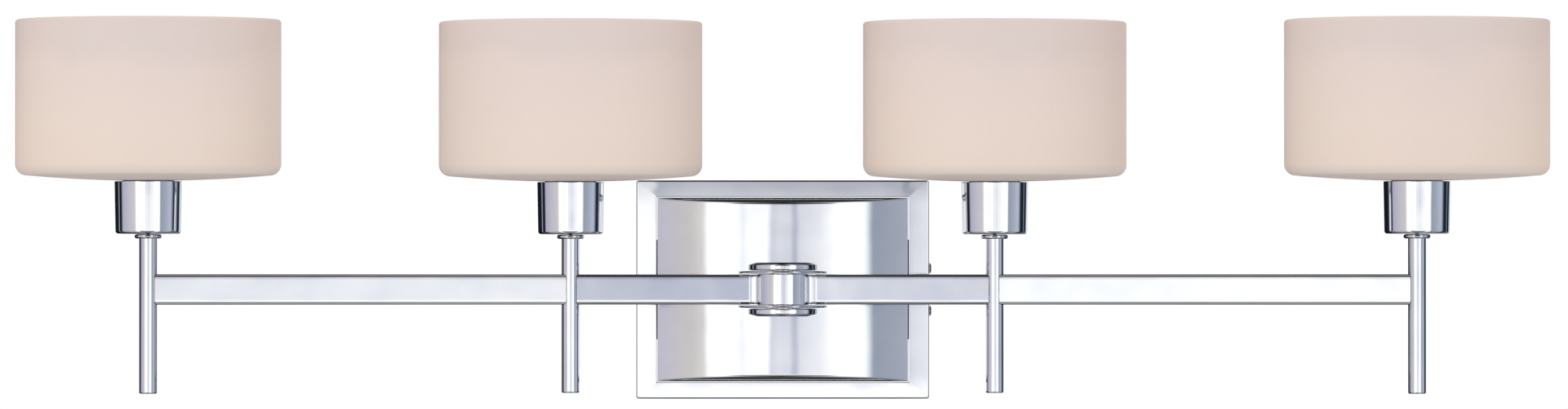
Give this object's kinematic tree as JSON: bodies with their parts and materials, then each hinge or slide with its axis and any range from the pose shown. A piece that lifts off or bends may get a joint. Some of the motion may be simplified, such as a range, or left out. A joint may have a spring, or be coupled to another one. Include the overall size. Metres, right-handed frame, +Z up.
{
  "type": "vanity light bar",
  "caption": "Wall light with opal drum shades in a row on a chrome bar that bends forward at both sides of a hub on a bowed wall plate.",
  "frame": {"origin": "middle of the wall bracket's back face, which lies on the wall, level with the middle of the bar", "axes": "+X to the right along the bar, +Z up, +Y into the wall; the light faces -Y"},
  "size_m": [0.809, 0.2231, 0.2014],
  "materials": {
    "chrome": "bright polished chrome plate",
    "zinc": "zinc plated, dull",
    "brass": "plain machined brass",
    "copper": "bare copper",
    "opal_glass": "etched opal glass, not see-through",
    "ceramic": "unglazed white ceramic",
    "quartz": "frosted quartz capsule",
    "silicone": "soft silicone rubber",
    "insulation": "white sleeving",
    "connector": "moulded, satin"
  },
  "bodies": {
    "wall_mount": {"wall_bracket": "zinc", "bracket_screw_left": "zinc", "bracket_screw_right": "zinc", "ground_screw": "copper", "ground_wire": "copper"},
    "fixture": {"backplate_frame": "chrome", "backplate_panel": "chrome", "stem_pipe": "brass", "lock_washer": "zinc", "stem_nut": "brass", "stem_sleeve": "chrome", "hub_body": "chrome", "hub_disc_top": "chrome", "hub_disc_bottom": "chrome", "inner_arm_left": "chrome", "inner_arm_right": "chrome", "outer_arm_left": "chrome", "outer_arm_right": "chrome", "wire_connector_live": "connector", "wire_connector_neutral": "connector", "post_1": "chrome", "post_bead_1": "chrome", "cup_1": "chrome", "socket_1": "ceramic", "lead_1": "insulation", "post_2": "chrome", "post_bead_2": "chrome", "cup_2": "chrome", "socket_2": "ceramic", "lead_2": "insulation", "post_3": "chrome", "post_bead_3": "chrome", "cup_3": "chrome", "socket_3": "ceramic", "lead_3": "insulation", "post_4": "chrome", "post_bead_4": "chrome", "cup_4": "chrome", "socket_4": "ceramic", "lead_4": "insulation"},
    "side_screw_upper": {"side_screw_upper": "zinc"},
    "side_screw_lower": {"side_screw_lower": "zinc"},
    "hub_cap_top": {"hub_cap_top": "chrome"},
    "hub_cap_bottom": {"hub_cap_bottom": "chrome"},
    "shade_1": {"shade_1": "opal_glass", "shade_washer_1": "silicone"},
    "shade_ring_1": {"shade_ring_1": "chrome"},
    "bulb_1": {"bulb_1": "quartz"},
    "shade_2": {"shade_2": "opal_glass", "shade_washer_2": "silicone"},
    "shade_ring_2": {"shade_ring_2": "chrome"},
    "bulb_2": {"bulb_2": "quartz"},
    "shade_3": {"shade_3": "opal_glass", "shade_washer_3": "silicone"},
    "shade_ring_3": {"shade_ring_3": "chrome"},
    "bulb_3": {"bulb_3": "quartz"},
    "shade_4": {"shade_4": "opal_glass", "shade_washer_4": "silicone"},
    "shade_ring_4": {"shade_ring_4": "chrome"},
    "bulb_4": {"bulb_4": "quartz"}
  },
  "joints": [
    {"name": "fixture_pull_off", "type": "slide", "parent": "wall_mount", "child": "fixture", "axis": [0, -1, 0], "range_m": [0, 0.03]},
    {"name": "side_screw_upper_turn", "type": "hinge", "parent": "wall_mount", "child": "side_screw_upper", "pos_m": [0.0806, -0.012, 0.0115], "axis": [1, 0, 0], "continuous": true},
    {"name": "side_screw_lower_turn", "type": "hinge", "parent": "wall_mount", "child": "side_screw_lower", "pos_m": [0.0806, -0.012, -0.0115], "axis": [1, 0, 0], "continuous": true},
    {"name": "hub_cap_top_turn", "type": "hinge", "parent": "fixture", "child": "hub_cap_top", "pos_m": [0, -0.094, 0.01], "axis": [0, 0, 1], "continuous": true},
    {"name": "hub_cap_bottom_turn", "type": "hinge", "parent": "fixture", "child": "hub_cap_bottom", "pos_m": [0, -0.094, -0.01], "axis": [0, 0, 1], "continuous": true},
    {"name": "shade_1_lift", "type": "slide", "parent": "fixture", "child": "shade_1", "axis": [0, 0, 1], "range_m": [0, 0.06]},
    {"name": "shade_ring_1_turn", "type": "hinge", "parent": "shade_1", "child": "shade_ring_1", "pos_m": [-0.33447, -0.14109, 0.0645], "axis": [0, 0, 1], "continuous": true},
    {"name": "bulb_1_pull", "type": "slide", "parent": "fixture", "child": "bulb_1", "axis": [0, 0, 1], "range_m": [0, 0.095]},
    {"name": "shade_2_lift", "type": "slide", "parent": "fixture", "child": "shade_2", "axis": [0, 0, 1], "range_m": [0, 0.06]},
    {"name": "shade_ring_2_turn", "type": "hinge", "parent": "shade_2", "child": "shade_ring_2", "pos_m": [-0.11275, -0.1, 0.0645], "axis": [0, 0, 1], "continuous": true},
    {"name": "bulb_2_pull", "type": "slide", "parent": "fixture", "child": "bulb_2", "axis": [0, 0, 1], "range_m": [0, 0.095]},
    {"name": "shade_3_lift", "type": "slide", "parent": "fixture", "child": "shade_3", "axis": [0, 0, 1], "range_m": [0, 0.06]},
    {"name": "shade_ring_3_turn", "type": "hinge", "parent": "shade_3", "child": "shade_ring_3", "pos_m": [0.11275, -0.1, 0.0645], "axis": [0, 0, 1], "continuous": true},
    {"name": "bulb_3_pull", "type": "slide", "parent": "fixture", "child": "bulb_3", "axis": [0, 0, 1], "range_m": [0, 0.095]},
    {"name": "shade_4_lift", "type": "slide", "parent": "fixture", "child": "shade_4", "axis": [0, 0, 1], "range_m": [0, 0.06]},
    {"name": "shade_ring_4_turn", "type": "hinge", "parent": "shade_4", "child": "shade_ring_4", "pos_m": [0.33447, -0.14109, 0.0645], "axis": [0, 0, 1], "continuous": true},
    {"name": "bulb_4_pull", "type": "slide", "parent": "fixture", "child": "bulb_4", "axis": [0, 0, 1], "range_m": [0, 0.095]}
  ]
}
